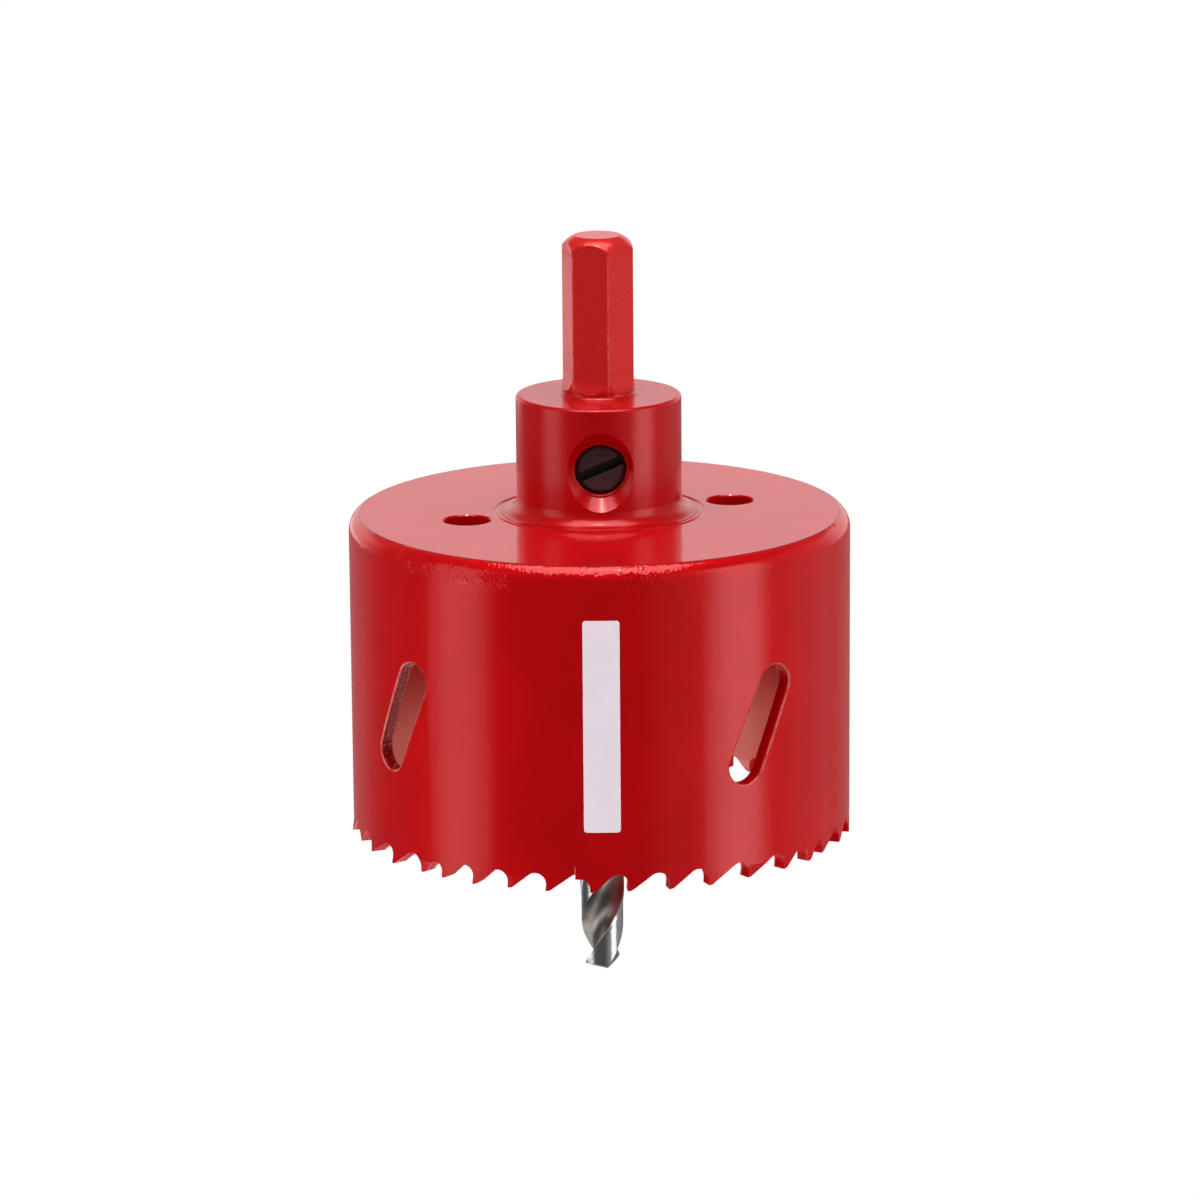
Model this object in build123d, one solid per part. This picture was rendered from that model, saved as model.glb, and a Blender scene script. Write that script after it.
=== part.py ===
from build123d import *
from itertools import cycle
from math import acos, asin, atan2, cos, degrees, hypot, pi, radians, sin, tan
import os

os.makedirs("parts", exist_ok=True)

# A hole saw in one piece with its hexagon shank, all in millimetres.
# The tool's axis is Z with the shank up. Height 0 is the outer face of the end plate.
# Azimuths are in degrees from the front (-Y) towards the right (+X).

# Saw body: a strip, rolled to a ring, butt welded, toothed and slotted
body_diameter = 67.4
wall = 1.8
cup_height = 43.5
seam_azimuth = -7.25
seam_step = 0.65
seam_left_length = 0.5
seam_left_rise = 0.2
seam_right_length = 1.3
seam_right_rise = 1.0

# Teeth: the pitch varies along the strip in a group that repeats
tooth_pitches = [4.9, 5.5, 5.5, 6.2, 6.2, 5.0, 4.2, 5.7, 5.2, 6.1,
                 5.9, 5.6, 5.4, 6.4, 5.8, 3.9, 5.1, 5.0, 5.3]
first_tip = 2.0
tooth_depth = 2.35
tooth_hook = 0.08
gullet_radius = 1.5
gullet_share = 0.27
tip_land = 0.12
relief_length = 0.95
relief_rise = 0.34
tooth_set = 0.22
set_bend_height = 1.7
blank_setback = 0.95
set_pattern = [1, -1, 0]

# Slots for levering out the plug, slanted and evenly spaced
slot_count = 4
slot_azimuth = 37.3
slot_length = 16.4
slot_width = 5.0
slot_slant = 25.0
slot_centre_depth = 23.0
slot_lip_radius = 0.4

# End plate, let into the ring and welded round its edge
plate_thickness = 5.0
weld_height = 2.4
weld_radius = 2.4
weld_edge_slope = 25.0
plate_fit = 0.02
groove_radius = 14.0
groove_width = 0.7
groove_depth = 0.12

# Two holes for the drive pins of a larger arbor
pin_hole_diameter = 6.3
pin_circle_diameter = 37.0
pin_azimuth = 106.0
pin_hole_chamfer = 0.2

# Arbor: hub, spigot and hexagon shank turned and milled from one bar
hub_diameter = 22.2
hub_height = 16.0
hub_rounding = 0.5
hub_flare = 2.1
hub_flare_edge = 0.08
spigot_diameter = 16.0
shank_flats = 8.5
shank_turned_diameter = 9.7
shank_length = 21.5
shank_azimuth = 45.0
shank_end_diameter = 6.2
shank_end_height = 1.6
shank_end_bulge = 0.16
neck_fillet = 0.6
flat_runout_radius = 4.4
flat_overrun = 0.05

# Set screw, its threaded hole and the countersink at the hole's mouth
screw_height = 7.5
screw_diameter = 7.4
screw_fit = 0.05
screw_recess = 2.4
screw_end_chamfer = 0.85
screw_slot_width = 1.3
screw_slot_depth = 2.2
screw_slot_angle = 22.5
countersink_diameter = 10.7
countersink_angle = 90.0

# Pilot drill: two flutes, right-hand helix, split point
drill_diameter = 6.0
drill_fit = 0.03
drill_protrusion = 20.8
drill_seat = 14.5
bore_end_gap = 0.5
bore_end_angle = 118.0
drill_flat_depth = 0.3
drill_flat_length = 9.0
flute_length = 48.0
flute_pitch = 27.5
flute_floor_start = 1.1
lip_offset = 0.65
land_angle = 72.0
land_relief = 0.15
margin_width = 0.6
flute_exit_length = 5.0
point_angle = 135.0
point_relief = 9.0
lip_azimuth = -57.0
split_slope = 46.0
split_turn = 10.0
split_core = 0.12

# Sizes that follow from the ones above
body_radius = body_diameter / 2
bore_radius = body_radius - wall
strip_length = pi * body_diameter
tip_level = -cup_height
hub_radius = hub_diameter / 2
shank_top = hub_height + shank_length
turned_radius = shank_turned_diameter / 2
screw_radius = screw_diameter / 2
screw_hole_radius = screw_radius + screw_fit
drill_radius = drill_diameter / 2
drill_bore_radius = drill_radius + drill_fit
drill_tip_level = tip_level - drill_protrusion
drill_flat_distance = drill_radius - drill_flat_depth
cut_margin = 1.0


def azimuth_plane(azimuth, radius=0.0, height=0.0):
    """A plane that faces outward at an azimuth, its x along the ring and its y up the axis."""
    a = radians(azimuth)
    return Plane(origin=(radius * sin(a), -radius * cos(a), height),
                 x_dir=(cos(a), sin(a), 0), z_dir=(sin(a), -cos(a), 0))


def section_plane(azimuth=90.0):
    """A plane through the axis, its x pointing outward at an azimuth and its y up the axis."""
    a = radians(azimuth)
    return Plane(origin=(0, 0, 0), x_dir=(sin(a), -cos(a), 0), z_dir=(-cos(a), -sin(a), 0))


def strip_azimuth(distance):
    """The azimuth at a distance along the outside of the strip, counted from the seam."""
    return seam_azimuth + degrees(distance / body_radius)


def turned(edges, azimuth=90.0, arc=360.0):
    """Turn a closed outline, drawn as radius and height, about the axis."""
    face = section_plane(azimuth) * make_face(edges)
    return revolve(face, axis=Axis.Z, revolution_arc=arc)


def tooth_tips():
    """Distances of the tooth tips along the strip: the pitch group repeats to the strip's end."""
    tips = [first_tip]
    for pitch in cycle(tooth_pitches):
        following = tips[-1] + pitch
        if following > strip_length - first_tip:
            return tips
        tips.append(following)


def relief_edge(place):
    """The rounded relief behind a tip, level at the tip and rising to the back slope."""
    return TangentArc(place((tip_land, 0)), place((relief_length, relief_rise)), tangent=(1, 0))


def gullet_edges(pitch, place):
    """Outline of the gap between two tips: relief, back slope, round gullet and hooked face."""
    radius = min(gullet_radius, gullet_share * pitch)
    depth = min(tooth_depth, pitch / 2)
    centre = (pitch + tooth_hook - radius, depth - radius)
    start = (relief_length, relief_rise)
    reach = hypot(centre[0] - start[0], centre[1] - start[1])
    bearing = atan2(centre[1] - start[1], centre[0] - start[0])
    touch_angle = bearing + asin(radius / reach) + pi / 2

    def on_gullet(angle):
        return (centre[0] + radius * cos(angle), centre[1] + radius * sin(angle))

    slope = Line(place(start), place(on_gullet(touch_angle)))
    gullet = ThreePointArc(place(on_gullet(touch_angle)), place(on_gullet(touch_angle / 2)),
                           place(on_gullet(0)))
    face = Polyline(place(on_gullet(0)), place((pitch, 0)), place((pitch, -cut_margin)),
                    place((tip_land, -cut_margin)), place((tip_land, 0)))
    return relief_edge(place) + slope + gullet + face


def seam_edges(pitch, place):
    """Outline of the gap at the seam, where the strip's two ends meet with a small step."""
    seam = pitch - first_tip
    low = tooth_depth - seam_step
    left_start = (seam - seam_left_length, tooth_depth - seam_left_rise)
    right_start = (pitch - seam_right_length, low)
    right_end = (pitch - tooth_hook, low - seam_right_rise)
    slope = Line(place((relief_length, relief_rise)), place(left_start))
    left = TangentArc(place((seam, tooth_depth)), place(left_start), tangent=(-1, 0)).reversed()
    step = Polyline(place((seam, tooth_depth)), place((seam, low)), place(right_start))
    right = TangentArc(place(right_start), place(right_end), tangent=(1, 0))
    face = Polyline(place(right_end), place((pitch, 0)), place((pitch, -cut_margin)),
                    place((tip_land, -cut_margin)), place((tip_land, 0)))
    return relief_edge(place) + slope + left + step + right + face


def gap_cutter(edges, start, pitch):
    """A cutter through the wall between two tips, narrower inside because the strip is rolled."""
    middle = strip_azimuth(start + pitch / 2)
    wires = []
    for radius in (bore_radius - cut_margin, body_radius + cut_margin):
        squeeze = radius / body_radius

        def place(point):
            return ((point[0] - pitch / 2) * squeeze, point[1] + tip_level)

        outline = make_face(edges(pitch, place)).face().outer_wire()
        wires.append(azimuth_plane(middle, radius) * outline)
    return Solid.make_loft(wires, ruled=True)


def tooth_blank(tip, pitch, side):
    """The stock of one tooth, bent outward (1), inward (-1) or left straight (0)."""
    lean = side * tooth_set
    bend_level = tip_level + set_bend_height
    edges = Polyline((bore_radius, bend_level), (body_radius, bend_level),
                     (body_radius + lean, tip_level), (bore_radius + lean, tip_level), close=True)
    gap = blank_setback / 4
    start = strip_azimuth(tip - blank_setback)
    end = strip_azimuth(tip + pitch - blank_setback - gap)
    return turned(edges, azimuth=start, arc=end - start)


def slot_cutter(azimuth):
    """One slanted slot with round ends, its top leaning the way the azimuth grows."""
    outline = SlotOverall(slot_length, slot_width, rotation=90 - slot_slant)
    start = azimuth_plane(azimuth, bore_radius - 2 * cut_margin, -slot_centre_depth)
    return extrude(start * outline, amount=wall + 4 * cut_margin)


def slot_lip_edges(band):
    """The edges of the slots that lie on the outside of the ring."""
    half = slot_length / 2
    return [edge for edge in band.edges()
            if abs(hypot(edge.center().X, edge.center().Y) - body_radius) < wall / 4
            and abs(edge.center().Z + slot_centre_depth) < half
            and edge.length < slot_length and edge.geom_type != GeomType.LINE]


def make_saw_band():
    """The ring of strip with its set teeth, its slots and the step at its seam."""
    top = -weld_height
    ring = turned(Polyline((bore_radius, top), (body_radius, top),
                           (body_radius, tip_level + set_bend_height),
                           (bore_radius, tip_level + set_bend_height), close=True))
    tips = tooth_tips()
    pitches = [after - before for before, after in zip(tips, tips[1:])]
    last_pitch = strip_length - tips[-1] + first_tip
    blanks = [tooth_blank(tip, pitch, side)
              for tip, pitch, side in zip(tips, pitches + [last_pitch], cycle(set_pattern))]
    gaps = [gap_cutter(gullet_edges, tip, pitch) for tip, pitch in zip(tips, pitches)]
    gaps.append(gap_cutter(seam_edges, tips[-1], last_pitch))
    slots = [slot_cutter(slot_azimuth + turn * 360 / slot_count) for turn in range(slot_count)]
    band = ring.fuse(*blanks).cut(*gaps).cut(*slots)
    band = fillet(slot_lip_edges(band), slot_lip_radius)
    return band


def make_end_plate():
    """The disc in the ring's mouth, with the weld round its edge and its holes."""
    slope = radians(weld_edge_slope)
    arc_centre = (body_radius - weld_radius, -weld_radius * cos(slope))

    def on_weld(angle):
        return (arc_centre[0] + weld_radius * cos(angle), arc_centre[1] + weld_radius * sin(angle))

    inner = spigot_diameter / 2 + plate_fit
    outer = bore_radius - plate_fit
    edge_angle = pi / 2 - slope
    top = Polyline((outer, -plate_thickness), (inner, -plate_thickness), (inner, 0),
                   on_weld(edge_angle))
    bead = ThreePointArc(on_weld(edge_angle), on_weld(edge_angle / 2), on_weld(0))
    foot = Polyline(on_weld(0), (body_radius, -weld_height), (outer, -weld_height),
                    (outer, -plate_thickness))
    plate = turned(top + bead + foot)
    groove = turned(Polyline((groove_radius - groove_width / 2, 0), (groove_radius, -groove_depth),
                             (groove_radius + groove_width / 2, 0), close=True))
    plate = plate.cut(groove)
    for side in (0, 180):
        a = radians(pin_azimuth + side)
        x = pin_circle_diameter / 2 * sin(a)
        y = -pin_circle_diameter / 2 * cos(a)
        plate = plate.cut(Pos(x, y, 0) * Cylinder(pin_hole_diameter / 2, 3 * plate_thickness))
    mouths = [edge for edge in plate.edges().filter_by(GeomType.CIRCLE)
              if abs(edge.radius - pin_hole_diameter / 2) < 0.01 and abs(edge.center().Z) < 0.01]
    return chamfer(mouths, pin_hole_chamfer)


def arbor_outline():
    """Half section of the arbor before milling: spigot, hub, neck fillet and shank."""
    lip = hub_flare_edge
    flare = (hub_radius + hub_flare, lip)
    flare_end = (hub_radius, lip + hub_flare)
    diagonal = 1 - cos(pi / 4)
    foot = Polyline((0, -plate_thickness), (spigot_diameter / 2, -plate_thickness),
                    (spigot_diameter / 2, 0), (flare[0], 0), flare)
    sweep_up = ThreePointArc(flare, (hub_radius + hub_flare * diagonal,
                                     lip + hub_flare * diagonal), flare_end)
    side = Line(flare_end, (hub_radius, hub_height - hub_rounding))
    shoulder = ThreePointArc((hub_radius, hub_height - hub_rounding),
                             (hub_radius - hub_rounding * diagonal,
                              hub_height - hub_rounding * diagonal),
                             (hub_radius - hub_rounding, hub_height))
    top = Line((hub_radius - hub_rounding, hub_height), (turned_radius + neck_fillet, hub_height))
    neck = ThreePointArc((turned_radius + neck_fillet, hub_height),
                         (turned_radius + neck_fillet * diagonal,
                          hub_height + neck_fillet * diagonal),
                         (turned_radius, hub_height + neck_fillet))
    rod = Line((turned_radius, hub_height + neck_fillet),
               (turned_radius, shank_top - shank_end_height))
    end_radius = shank_end_diameter / 2
    nose_middle = ((turned_radius + end_radius) / 2 + shank_end_bulge,
                   shank_top - shank_end_height / 2 + shank_end_bulge)
    nose = ThreePointArc((turned_radius, shank_top - shank_end_height), nose_middle,
                         (end_radius, shank_top))
    close = Polyline((end_radius, shank_top), (0, shank_top), (0, -plate_thickness))
    return foot + sweep_up + side + shoulder + top + neck + rod + nose + close


def flat_cutter(azimuth):
    """The path of the milling cutter that leaves one flat and its round run-out."""
    apothem = shank_flats / 2
    outside = turned_radius + flat_overrun
    sweep = acos(1 - (outside - apothem) / flat_runout_radius)
    end = (outside, hub_height + neck_fillet)
    start = (apothem, end[1] + flat_runout_radius * sin(sweep))
    high = shank_top + cut_margin
    edges = TangentArc(start, end, tangent=(0, -1)) + Polyline(
        end, (outside + cut_margin, end[1]), (outside + cut_margin, high), (apothem, high), start)
    face = section_plane(azimuth) * make_face(edges)
    return extrude(face, amount=turned_radius, both=True)


def pilot_bore():
    """The blind bore for the pilot drill, with the cone that a drill leaves."""
    depth = drill_seat + bore_end_gap
    cone = drill_bore_radius / tan(radians(bore_end_angle / 2))
    return turned(Polyline((0, -plate_thickness - cut_margin),
                           (drill_bore_radius, -plate_thickness - cut_margin),
                           (drill_bore_radius, depth), (0, depth + cone), close=True))


def screw_hole():
    """The hole for the set screw, from the bore to the front of the hub, with its countersink."""
    front = azimuth_plane(0, 0, screw_height)
    hole = extrude(front * Circle(screw_hole_radius), amount=hub_radius + cut_margin)
    mouth_radius = countersink_diameter / 2
    slope = tan(radians(countersink_angle / 2))
    wide = mouth_radius + cut_margin * slope
    length = wide / slope
    cone_plane = azimuth_plane(0, hub_radius + cut_margin - length / 2, screw_height)
    return hole + cone_plane * Cone(0, wide, length)


def make_arbor():
    """Hub, spigot and hexagon shank in one piece, bored for the drill and the set screw."""
    arbor = turned(arbor_outline())
    flats = [flat_cutter(shank_azimuth + turn * 60) for turn in range(6)]
    return arbor.cut(*flats).cut(pilot_bore()).cut(screw_hole())


def make_set_screw():
    """A slotted set screw that bears on the flat of the drill."""
    outer = hub_radius - screw_recess
    length = outer - drill_flat_distance
    chamfer = screw_end_chamfer
    edges = Polyline((0, 0), (screw_radius - chamfer, 0), (screw_radius, chamfer),
                     (screw_radius, length - chamfer), (screw_radius - chamfer, length),
                     (0, length), close=True)
    screw = turned(edges)
    slot = Pos(0, 0, length) * Box(3 * screw_radius, screw_slot_width, 2 * screw_slot_depth)
    screw = screw - Rot(0, 0, screw_slot_angle) * slot
    return azimuth_plane(0, drill_flat_distance, screw_height) * screw


def drill_section():
    """Cross-section of the fluted part: two lands with margins and two J-shaped flutes."""
    relieved = drill_radius - land_relief
    lip_angle = -asin(lip_offset / drill_radius)
    margin_angle = lip_angle + margin_width / drill_radius
    heel_angle = lip_angle + radians(land_angle)
    floor = (flute_floor_start, -lip_offset)
    edges = Curve()
    for turn in (0, pi):

        def at(radius, angle):
            return (radius * cos(angle + turn), radius * sin(angle + turn))

        def spin(point):
            return (point[0] * cos(turn) - point[1] * sin(turn),
                    point[0] * sin(turn) + point[1] * cos(turn))

        lip = at(drill_radius, lip_angle)
        heel = at(relieved, heel_angle)
        next_floor = spin((-floor[0], -floor[1]))
        next_lip = at(drill_radius, lip_angle + pi)
        along = (-cos(turn + pi), -sin(turn + pi))
        edges += ThreePointArc(lip, at(drill_radius, (lip_angle + margin_angle) / 2),
                               at(drill_radius, margin_angle))
        edges += Line(at(drill_radius, margin_angle), at(relieved, margin_angle))
        edges += ThreePointArc(at(relieved, margin_angle),
                               at(relieved, (margin_angle + heel_angle) / 2), heel)
        edges += TangentArc(next_floor, heel, tangent=along).reversed()
        edges += Line(next_floor, next_lip)
    return make_face(edges)


def point_facet(turn):
    """The space below one flank of the point, which falls to the lip and rises behind it."""
    lip_slope = 90 - point_angle / 2
    size = 4 * drill_diameter
    block = Pos(0, 0, -size / 2) * Box(size, size, size)
    tilt = Rot(0, 0, turn) * Rot(0, -lip_slope, 0) * Rot(point_relief, 0, 0)
    return Pos(0, 0, drill_tip_level) * tilt * block


def split_notch(turn):
    """The notch that thins the web at the point and takes away the heel of one land."""
    size = 4 * drill_diameter
    block = Pos(0, split_core + size / 2, -size / 2) * Box(size, size, size)
    slope = Rot(0, 0, split_turn) * Rot(split_slope, 0, 0) * Pos(0, 0, -size / 2)
    ramp = slope * Box(size, size, size)
    return Pos(0, 0, drill_tip_level) * Rot(0, 0, turn) * (block & ramp)


def make_pilot_drill():
    """The twist drill: plain upper part held in the hub, two flutes and a split point."""
    low = drill_tip_level
    flute_top = low + flute_length
    turn = 360 * flute_length / flute_pitch
    lip_turn = lip_azimuth - 90
    section = Pos(0, 0, low) * Rot(0, 0, lip_turn) * drill_section()
    fluted = Solid.extrude_linear_with_rotation(section.face(), (0, 0, low),
                                                (0, 0, flute_length), turn)
    exit_start = flute_top - flute_exit_length
    plain = turned(Polyline((0, exit_start), (lip_offset, exit_start), (drill_radius, flute_top),
                            (drill_radius, drill_seat), (0, drill_seat), close=True))
    drill = plain.fuse(fluted)
    cuts = [point_facet(lip_turn), point_facet(lip_turn + 180)]
    cuts += [split_notch(lip_turn), split_notch(lip_turn + 180)]
    flat = Pos(0, -drill_flat_distance - drill_radius, screw_height)
    cuts.append(flat * Box(2 * drill_diameter, drill_diameter, drill_flat_length))
    return drill.cut(*cuts)


pieces = {
    "saw_band": make_saw_band(),
    "end_plate": make_end_plate(),
    "arbor": make_arbor(),
    "set_screw": make_set_screw(),
    "pilot_drill": make_pilot_drill(),
}
for name, piece in pieces.items():
    export_step(piece, f"parts/{name}.step")
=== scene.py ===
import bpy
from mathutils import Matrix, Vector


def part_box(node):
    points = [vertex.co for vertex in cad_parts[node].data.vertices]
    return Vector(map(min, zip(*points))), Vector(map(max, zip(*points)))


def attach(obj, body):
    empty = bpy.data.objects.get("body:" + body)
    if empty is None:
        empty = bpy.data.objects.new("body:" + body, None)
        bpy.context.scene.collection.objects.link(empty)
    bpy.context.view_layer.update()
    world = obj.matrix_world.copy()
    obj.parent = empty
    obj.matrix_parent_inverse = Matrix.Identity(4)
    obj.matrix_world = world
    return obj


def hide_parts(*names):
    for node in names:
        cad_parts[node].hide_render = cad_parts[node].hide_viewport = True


bl_info = {
    "name": "Hole Saw Finish",
    "version": (1, 0, 0),
    "blender": (4, 5, 0),
    "location": "3D View > Sidebar > Hole Saw",
    "description": "Paints, prints and lights a hole saw with its arbor and pilot drill",
    "category": "Object",
}

from math import ceil, cos, pi, radians, sin, sqrt

import bmesh
import bpy
from bpy.props import FloatProperty, FloatVectorProperty, PointerProperty
from mathutils import Matrix, Vector, noise

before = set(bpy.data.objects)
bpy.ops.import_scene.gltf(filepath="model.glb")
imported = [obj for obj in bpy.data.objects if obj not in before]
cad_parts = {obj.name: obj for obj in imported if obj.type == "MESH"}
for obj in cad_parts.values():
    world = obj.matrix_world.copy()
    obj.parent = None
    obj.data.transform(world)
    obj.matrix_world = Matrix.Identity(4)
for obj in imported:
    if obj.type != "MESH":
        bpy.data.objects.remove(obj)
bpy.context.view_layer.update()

# Height 0 is the outer face of the end plate and Z is the tool's axis, shank up.
# An azimuth is counted from the front (-Y) towards the right (+X).
MM = 0.001
BODY = "root"
SCREW_LOW, SCREW_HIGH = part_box("set_screw")

# Places on the tool that its paint follows
WALL = 1.8 * MM
UNDER_PLATE = -5.3 * MM
INSIDE_RADIUS = 25 * MM
SLOT_MIDDLE = -23 * MM
SLOT_REACH = 8.2 * MM
LOW_INSIDE = -38 * MM
GULLET_TOP = -38.6 * MM
SEAM_TOP = -40.4 * MM
PIN_HOLE_MIDDLE = -2.8 * MM
PIN_HOLE_REACH = 3.3 * MM
SHANK_ROOT = 16.2 * MM
FLATS_TOP = 34.8 * MM
SHANK_SIDES = 6
SHANK_CORNER = radians(15)

# Bumps of the weld: their width along the ring, height down the bead, and seed
FINE_BUMPS = (0.36 * MM, 0.3 * MM, 3.1)
BROAD_BUMPS = (1.7 * MM, 1.1 * MM, 7.7)
PATCHES = (5 * MM, 5 * MM, 1.3)
FOOT_WAVES = (1.4 * MM, 1.4 * MM, 5.9)
FOOT_UNEVEN = 0.2 * MM

# How far the weld's skin stands over the smooth bead, and sinks at its foot and its borders
SKIN_LIFT = 0.008 * MM
FOOT_SINK = 0.025 * MM
BORDER_SINK = 0.03 * MM

# Share of the coat's grit on the shank's flats and on the cut wall of the slots
GRIT_ON_FLATS = 0.8
GRIT_ON_CUT = 0.3

# The studio that gloss surfaces mirror. Feet and tops are sines of an elevation, and
# a pair says where a soft edge starts and ends.
# Cards at the sides, in degrees: azimuth of the middle, half width, soft edge; brightness
SIDE_CARDS = [(-69, 13, 8, 1.05), (64.5, 13, 8, 1.7), (62, 38, 10, 0.16), (114, 16, 8, 0.2)]
SIDE_CARD_FOOT = (-0.52, -0.36)
SIDE_CARD_TOP = (0.45, 0.65)
LOW_CARD_AZIMUTH = radians(-72)
LOW_CARD_SIDES = (radians(10), radians(30))
LOW_CARD_FOOT = (-0.85, -0.7)
LOW_CARD_TOP = (-0.47, -0.33)
LOW_CARD_BRIGHTNESS = 1.8
BACK_CARD_SIDES = (radians(118), radians(144))
BACK_CARD_FOOT = (-0.13, -0.05)
BACK_CARD_TOP = (0.32, 0.46)
BACK_CARD_BRIGHTNESS = 0.78
BETWEEN_CARDS = 0.07

# How far the floor shines by itself, as the camera sees it and in reflections
FLOOR_SEEN = 0.7
FLOOR_MIRRORED = 0.45

# Lamps: name, azimuth and elevation in degrees, distance, size, radiance and the point
# they face
LAMPS = [
    ("top_softbox", -3, 75, 0.8, (0.74, 0.7), 2.5, (0, 0, -0.01)),
    ("top_bulb", -4, 77, 0.8, (0.07, 0.07), 26, (0, 0, -0.01)),
    ("low_card", -149, -13.8, 0.3, (0.14, 0.031), 0.55, (0, 0, 0.042)),
]


def on_ring(azimuth, radius, height):
    """A point at an azimuth, a distance from the tool's axis and a height."""
    return Vector((radius * sin(azimuth), -radius * cos(azimuth), height))


def smooth_step(low, high, value):
    """0 below low, 1 above high and a smooth rise between them."""
    share = min(1.0, max(0.0, (value - low) / (high - low)))
    return share * share * (3 - 2 * share)


# Mesh helpers


def closed_mesh(name, points, faces):
    """A mesh whose faces all look outward."""
    mesh = bpy.data.meshes.new(name)
    mesh.from_pydata([tuple(p) for p in points], [], faces)
    mesh.validate()
    shape = bmesh.new()
    shape.from_mesh(mesh)
    bmesh.ops.recalc_face_normals(shape, faces=shape.faces)
    shape.to_mesh(mesh)
    shape.free()
    return mesh


def add_piece(name, points, faces, material, smooth=True):
    """A closed mesh that rides on the tool and takes the material it is given."""
    mesh = closed_mesh(name, points, faces)
    mesh.polygons.foreach_set("use_smooth", [smooth] * len(mesh.polygons))
    piece = bpy.data.objects.new(name, mesh)
    bpy.context.scene.collection.objects.link(piece)
    mesh.materials.append(material)
    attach(piece, BODY)
    return piece


def slab(outer, inner):
    """Points and faces of a closed shell between two grids of the same size."""
    rows, columns = len(outer), len(outer[0])
    points = [p for row in outer for p in row] + [p for row in inner for p in row]
    below = rows * columns

    def at(row, column):
        return row * columns + column

    faces = []
    for row in range(rows - 1):
        for column in range(columns - 1):
            quad = [at(row, column), at(row, column + 1),
                    at(row + 1, column + 1), at(row + 1, column)]
            faces.append(quad)
            faces.append([below + corner for corner in reversed(quad)])
    rim = [at(0, column) for column in range(columns)]
    rim += [at(row, columns - 1) for row in range(1, rows)]
    rim += [at(rows - 1, column) for column in range(columns - 2, -1, -1)]
    rim += [at(row, 0) for row in range(rows - 2, 0, -1)]
    for one, other in zip(rim, rim[1:] + rim[:1]):
        faces.append([other, one, below + one, below + other])
    return points, faces


def sheet(levels, columns, place):
    """A thin closed sheet, from a function that gives the outer and inner point of a place."""
    outer, inner = [], []
    for level in levels:
        pairs = [place(level, column / columns) for column in range(columns + 1)]
        outer.append([pair[0] for pair in pairs])
        inner.append([pair[1] for pair in pairs])
    return slab(outer, inner)


# Material helpers


class Sketch:
    """Nodes of a material or a world under construction."""

    def __init__(self, tree):
        self.nodes = tree.nodes
        self.links = tree.links

    def link(self, source, target):
        self.links.new(source, target)

    def fill(self, socket, value):
        """Set a socket to a number, or link it to another socket."""
        if isinstance(value, (int, float)):
            socket.default_value = value
        else:
            self.link(value, socket)

    def maths(self, operation, one, other=0.0):
        """One arithmetic step on values or numbers."""
        step = self.nodes.new("ShaderNodeMath")
        step.operation = operation
        self.fill(step.inputs[0], one)
        self.fill(step.inputs[1], other)
        return step.outputs["Value"]

    def times(self, value, *others):
        """The product of values or numbers."""
        for other in others:
            value = self.maths("MULTIPLY", value, other)
        return value

    def ramp(self, value, low, high, start=0.0, end=1.0):
        """A smooth change from start to end as a value goes from low to high."""
        change = self.nodes.new("ShaderNodeMapRange")
        change.interpolation_type = "SMOOTHSTEP"
        for socket, number in (("From Min", low), ("From Max", high),
                               ("To Min", start), ("To Max", end)):
            change.inputs[socket].default_value = number
        self.link(value, change.inputs["Value"])
        return change.outputs["Result"]

    def over(self, value, level, soft):
        """0 up to a level, rising to 1 over a soft distance beyond it."""
        return self.ramp(value, level, level + soft)

    def under(self, value, level, soft):
        """1 up to a level, falling to 0 over a soft distance beyond it."""
        return self.ramp(value, level, level + soft, 1.0, 0.0)

    def near(self, value, centre, full, none, peak=1.0):
        """A peak where a value is near a centre, falling to 0 between two distances from it."""
        gap = self.maths("ABSOLUTE", self.maths("SUBTRACT", value, centre))
        return self.ramp(gap, full, none, peak, 0.0)

    def choose(self, share, one, other):
        """A value or number where a share is 0, and another where it is 1."""
        mix = self.nodes.new("ShaderNodeMix")
        mix.data_type = "FLOAT"
        self.link(share, mix.inputs["Factor"])
        self.fill(mix.inputs["A"], one)
        self.fill(mix.inputs["B"], other)
        return mix.outputs["Result"]

    def split(self, place):
        """X, Y, height and azimuth of a point or a direction."""
        parts = self.nodes.new("ShaderNodeSeparateXYZ")
        self.link(place, parts.inputs["Vector"])
        x, y, height = parts.outputs
        azimuth = self.maths("ARCTAN2", x, self.times(y, -1.0))
        return x, y, height, azimuth

    def ray_kinds(self):
        """1 for what the camera sees, and 1 for what a reflection or a refraction shows."""
        path = self.nodes.new("ShaderNodeLightPath").outputs
        mirrored = self.maths("MAXIMUM", path["Is Glossy Ray"], path["Is Transmission Ray"])
        return path["Is Camera Ray"], mirrored


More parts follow.
